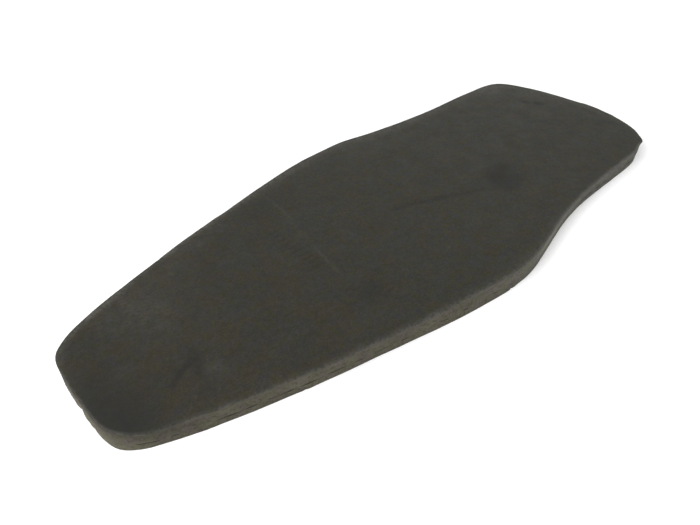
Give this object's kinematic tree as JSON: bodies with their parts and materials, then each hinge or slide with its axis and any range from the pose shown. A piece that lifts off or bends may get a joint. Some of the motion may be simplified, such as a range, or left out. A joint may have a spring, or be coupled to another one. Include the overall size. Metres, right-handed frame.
{
  "type": "back protector insert",
  "caption": "Flat contoured foam back protector insert: bonded impact and comfort plies with thin skins, slips into a motorcycle jacket's back pocket.",
  "frame": {"origin": "under the middle of the pad, on the face that lies against the wearer's back", "axes": "+X up the wearer's back, from the narrow lower end to the wide upper end; +Y to the wearer's left; +Z away from the wearer, through the thickness"},
  "size_m": [0.43, 0.1754, 0.012],
  "materials": {
    "outer_skin": "smooth matt skin of closed-cell foam, faintly mottled, with light handling scuffs",
    "impact_foam": "cut edge of dense closed-cell foam, fine open cells, matt",
    "bond_film": "dark contact adhesive, slightly wavy line",
    "comfort_foam": "cut edge of softer closed-cell foam, matt",
    "inner_skin": "smooth matt skin of closed-cell foam"
  },
  "bodies": {
    "root": {"outer_skin": "outer_skin", "impact_foam": "impact_foam", "bond_film": "bond_film", "comfort_foam": "comfort_foam", "inner_skin": "inner_skin"}
  },
  "joints": []
}
